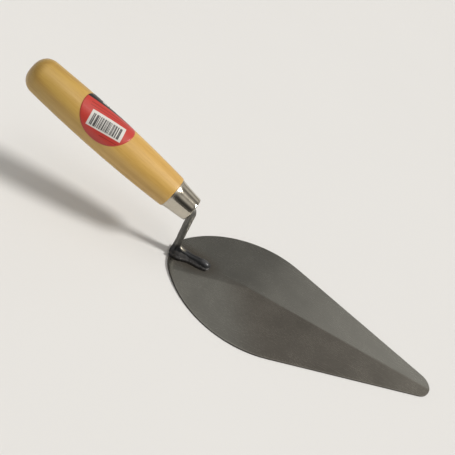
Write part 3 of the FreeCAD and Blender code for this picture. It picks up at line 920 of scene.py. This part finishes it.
def labelPrint():
    paint = newPaint("printedLabel")
    chart = paint.node("ShaderNodeUVMap", {"uv_map": "labelPlace"})
    radius = label["radius"]
    centred = paint.node("ShaderNodeVectorMath", {"operation": "MULTIPLY_ADD"}, {
        0: chart, 1: (2 * radius, 2 * radius, 0), 2: (-radius, -radius, 0),
    })
    turned = paint.node("ShaderNodeMapping", {"vector_type": "POINT"}, {
        "Vector": centred, "Rotation": (0, 0, labelArt["tilt"]),
    })
    u, v = paint.parts(turned)[:2]
    edge = labelArt["edge"]

    def above(value, line):
        return value.fade(line - edge, line + edge)

    def band(value, name):
        low, high = labelArt[name]
        return above(value, low) * (1 - above(value, high))

    red = paint.mix(paint.noise(centred, 900.0), (0.44, 0.037, 0.028), (0.50, 0.045, 0.035))
    cap = above(v, labelArt["capLine"])
    colour = paint.mix(cap, red, (0.012, 0.011, 0.012))
    panel = band(u, "panelAlong") * band(v, "panelAcross")
    colour = paint.mix(panel, colour, labelArt["pale"])
    stripes = paint.noise(paint.node("ShaderNodeCombineXYZ", inputs={0: u}), 1150.0, 1.0, 0.5)
    bars = stripes.fade(0.44, 0.52) * band(u, "barsAlong") * band(v, "barsAcross")
    colour = paint.mix(bars, colour, (0.05, 0.048, 0.05))
    lines = band(v, "upperLine").most(band(v, "middleLine")) * band(u, "linesAlong")
    lines = lines.most(band(v, "lowerLine") * band(u, "lowerLineAlong"))
    colour = paint.mix(lines * 0.75, colour, (0.09, 0.015, 0.014))
    wall = paint.node("ShaderNodeTexBrick", {"offset": 0.5}, {
        "Vector": turned, "Scale": 1.0, "Mortar Size": labelArt["mortar"], "Mortar Smooth": 0.1,
        "Color1": (1, 1, 1, 1), "Color2": (1, 1, 1, 1), "Mortar": (0, 0, 0, 1),
        "Brick Width": labelArt["brickWidth"], "Row Height": labelArt["brickHeight"],
    }, "Fac")
    mark = (1 - wall) * band(u, "markAlong") * band(v, "markAcross")
    colour = paint.mix(mark, colour, labelArt["pale"])
    return paint.finish(BaseColor=colour, Roughness=0.38, CoatWeight=0.2, CoatRoughness=0.2)


stage = {
    "floorSize": 12.0,
    "floorPale": 0.72,
    "sky": 0.23,
    "overhead": 0.42,
    "zenith": 0.5,
    "horizon": 0.42,
    "lampPlace": (86, 42.5),
    "lampSpread": 12.0,
    "lampBrightness": 2.8,
}


def makeFloor():
    paint = newPaint("paleFloor")
    grey = paint.noise(paint.place(), 4.0)
    pale = stage["floorPale"]
    base = paint.ramp(grey, (0.0, (pale, pale, pale)), (1.0, (pale + 0.02, pale + 0.02, pale + 0.02)))
    material = paint.finish(BaseColor=base, Roughness=0.9)
    size = stage["floorSize"]
    corners = [(-size, -size, 0), (size, -size, 0), (size, size, 0), (-size, size, 0)]
    floor = meshPiece("studioFloor", corners, [(0, 1, 2, 3)], material, smooth=False)
    floor.location.z = -0.0001


def skyDirection(azimuth, elevation):  # azimuth 0 is +Y and 90 is +X
    azimuth, elevation = math.radians(azimuth), math.radians(elevation)
    flat = math.cos(elevation)
    return (math.sin(azimuth) * flat, math.cos(azimuth) * flat, math.sin(elevation))


def makeWorld():  # a dim room with soft panels, two of them dark
    world = bpy.data.worlds.new("studioAir")
    paint = Paint(world)
    where = paint.node("ShaderNodeTexCoord", output="Generated")

    def panel(azimuth, elevation, reach, brightness):  # reach is its half width in degrees
        settings = {"operation": "DOT_PRODUCT"}
        inputs = {0: where, 1: skyDirection(azimuth, elevation)}
        facing = paint.node("ShaderNodeVectorMath", settings, inputs, "Value")
        return facing.fade(math.cos(math.radians(reach)), 1.0) * brightness

    height = paint.parts(where)[2]
    light = stage["sky"] + height.fade(0.72, 0.89) * stage["overhead"]
    light = light + height.fade(0.9, 1.0) * stage["zenith"]
    light = light + (1 - height.fade(0.06, 0.34)) * stage["horizon"]
    light = light + panel(26, 33, 19, 0.46) + panel(143, 50, 22, 0.55) + panel(144, 69, 9, 3.0)
    light = light * (1 - panel(168, 13, 48, 0.8)) * (1 - panel(18, 53, 15, 0.5))
    sky = paint.mix(1.0, (1.0, 0.97, 0.92), light, "MULTIPLY")
    glow = paint.node("ShaderNodeBackground", inputs={"Color": sky, "Strength": 1.0})
    paint.node("ShaderNodeOutputWorld", inputs={0: glow})
    bpy.context.scene.world = world


def makeLamp():  # one soft round lamp far away
    data = bpy.data.lights.new("keyLamp", "SUN")
    data.angle = math.radians(stage["lampSpread"])
    data.energy = stage["lampBrightness"]
    data.color = (1.0, 0.97, 0.92)
    lamp = bpy.data.objects.new("keyLamp", data)
    lamp.rotation_euler = (-Vector(skyDirection(*stage["lampPlace"]))).to_track_quat("-Z", "Y").to_euler()
    bpy.context.scene.collection.objects.link(lamp)


view = {
    "target": (-0.0136, 0.0, 0.0531),
    "distance": 0.5818,
    "azimuth": 0.45,
    "elevation": 40.27,
    "roll": 28.8,
    "lens": 57.3,
}


def makeCamera():
    data = bpy.data.cameras.new("benchView")
    data.lens = view["lens"]
    data.sensor_width = 36
    data.clip_start = 0.01
    camera = bpy.data.objects.new("benchView", data)
    azimuth = math.radians(view["azimuth"])
    elevation = math.radians(view["elevation"])
    ahead = Vector((
        math.sin(azimuth) * math.cos(elevation),
        math.cos(azimuth) * math.cos(elevation),
        -math.sin(elevation),
    ))
    across = ahead.cross(Vector((0, 0, 1))).normalized()
    over = across.cross(ahead)
    roll = math.radians(view["roll"])
    right = across * math.cos(roll) + over * math.sin(roll)
    top = over * math.cos(roll) - across * math.sin(roll)
    turn = Matrix((right, top, -ahead)).transposed()
    stand = Vector(view["target"]) - ahead * view["distance"]
    camera.matrix_world = Matrix.Translation(stand) @ turn.to_4x4()
    bpy.context.scene.collection.objects.link(camera)
    bpy.context.scene.camera = camera


makeCamera()
makeWorld()
makeFloor()
makeLamp()
print("stage set")
makeBlade(bladeSteel())
print("blade made")
makeHandle(varnishedWood())
makeFerrule(nickelPlate())
makeLabel(labelPrint())
print("handle, ferrule and label made")
makeShank(forgedSteel())
makeWeld(weldBlack())
print("shank and weld made")
bpy.context.scene.view_settings.view_transform = "Standard"
